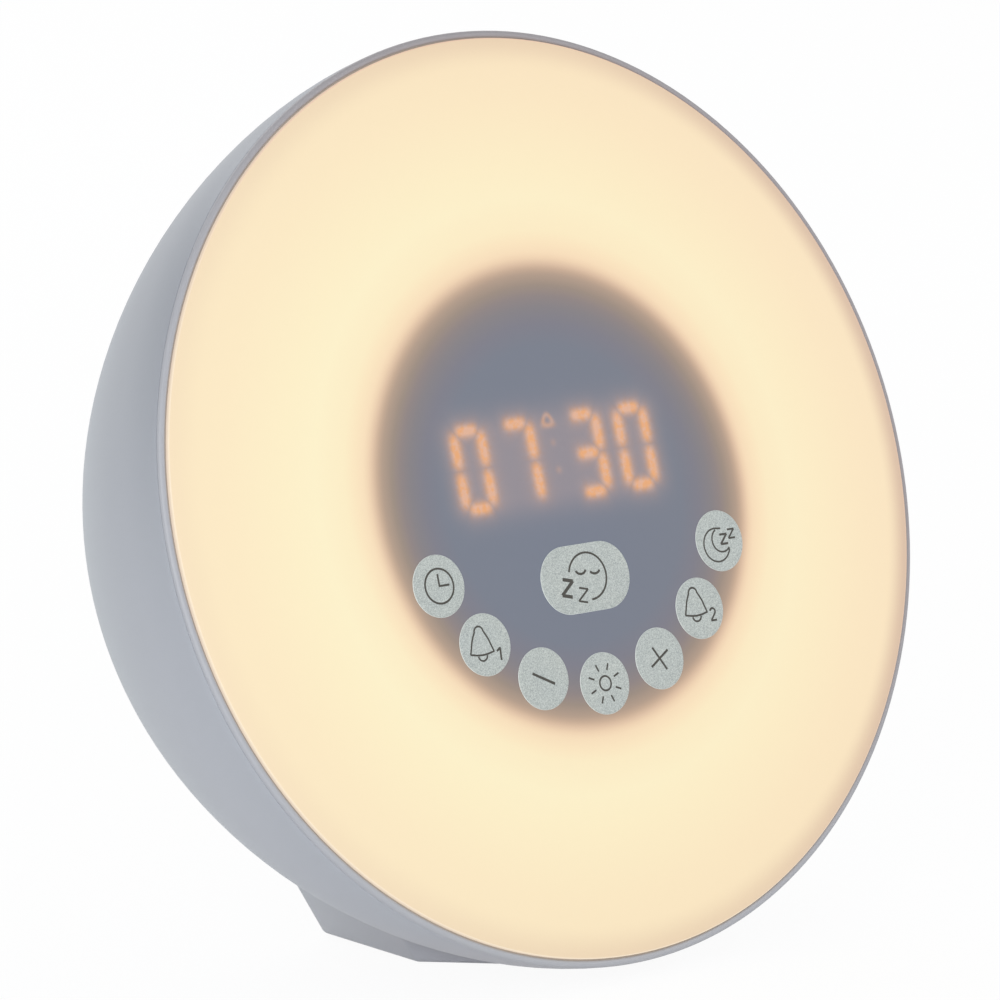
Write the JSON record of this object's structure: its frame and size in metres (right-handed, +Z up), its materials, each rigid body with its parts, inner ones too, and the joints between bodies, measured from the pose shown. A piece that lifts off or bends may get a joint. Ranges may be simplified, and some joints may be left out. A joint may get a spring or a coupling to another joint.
{
  "type": "sunrise alarm clock",
  "caption": "Round sunrise alarm clock: a lit domed face with a time display and touch pads, in a bowl-shaped body that leans back on a moulded foot.",
  "frame": {"origin": "centre of the underside of the rubber pad under the foot, on the table", "axes": "+X to the user's right, +Y towards the back, +Z up"},
  "size_m": [0.17, 0.1005, 0.1651],
  "materials": {
    "shell": "fine satin moulded plastic, blue-grey",
    "bezel": "satin silver-grey plastic",
    "lens": "opal plastic, lit from behind",
    "pad": "fine-grained silver",
    "foam": "conductive foam",
    "black_plastic": "moulded",
    "board": "coated circuit board",
    "lit_orange": "lit light-emitting bars",
    "screws": "plated",
    "ribbon": "flat cable",
    "white_plastic": "moulded",
    "white_board": "white-coated",
    "warm_led": "encapsulated",
    "tin": "pressed",
    "capacitor": "sleeved",
    "cone": "pressed paper",
    "magnet": "plated",
    "wire": "insulated",
    "cell": "plain sleeve",
    "contacts": "nickel-plated",
    "rubber": "soft"
  },
  "bodies": {
    "body": {"rear_shell": "shell", "bezel_ring": "bezel", "front_lens": "lens", "clock_pad": "pad", "alarm_one_pad": "pad", "minus_pad": "pad", "light_pad": "pad", "plus_pad": "pad", "alarm_two_pad": "pad", "sleep_pad": "pad", "snooze_pad": "pad", "touch_contacts": "foam", "display_housing": "black_plastic", "display_board": "board", "digit_module": "black_plastic", "digit_segments": "lit_orange", "display_screws": "screws", "display_ribbon": "ribbon", "reflector_dish": "white_plastic", "light_board": "white_board", "warm_leds": "warm_led", "colour_leds": "white_plastic", "main_board": "board", "control_chips": "black_plastic", "radio_can": "tin", "capacitors": "capacitor", "clock_crystal": "tin", "board_screws": "screws", "lead_plugs": "white_plastic", "speaker_frame": "tin", "speaker_cone": "cone", "speaker_magnet": "magnet", "speaker_gasket": "foam", "speaker_screws": "screws", "speaker_leads": "wire", "power_leads": "wire", "battery_leads": "wire", "light_leads": "wire", "reset_leads": "wire", "power_inlet": "black_plastic", "battery_cells": "cell", "battery_springs": "contacts", "battery_plates": "contacts", "reset_switch": "black_plastic", "reset_board": "board", "housing_screws": "screws", "foot_grip": "rubber"},
    "door": {"battery_door": "shell"},
    "key": {"reset_key": "black_plastic", "reset_plunger": "white_plastic"}
  },
  "joints": [
    {"name": "door_hinge", "type": "hinge", "parent": "body", "child": "door", "pos_m": [0, 0.03003, 0.03027], "axis": [-1, 0, 0], "range_deg": [0, 90]},
    {"name": "key_press", "type": "slide", "parent": "body", "child": "key", "axis": [0, -0.9537, 0.3007], "range_m": [0, 0.0008], "stiffness_N_per_m": 1500}
  ]
}
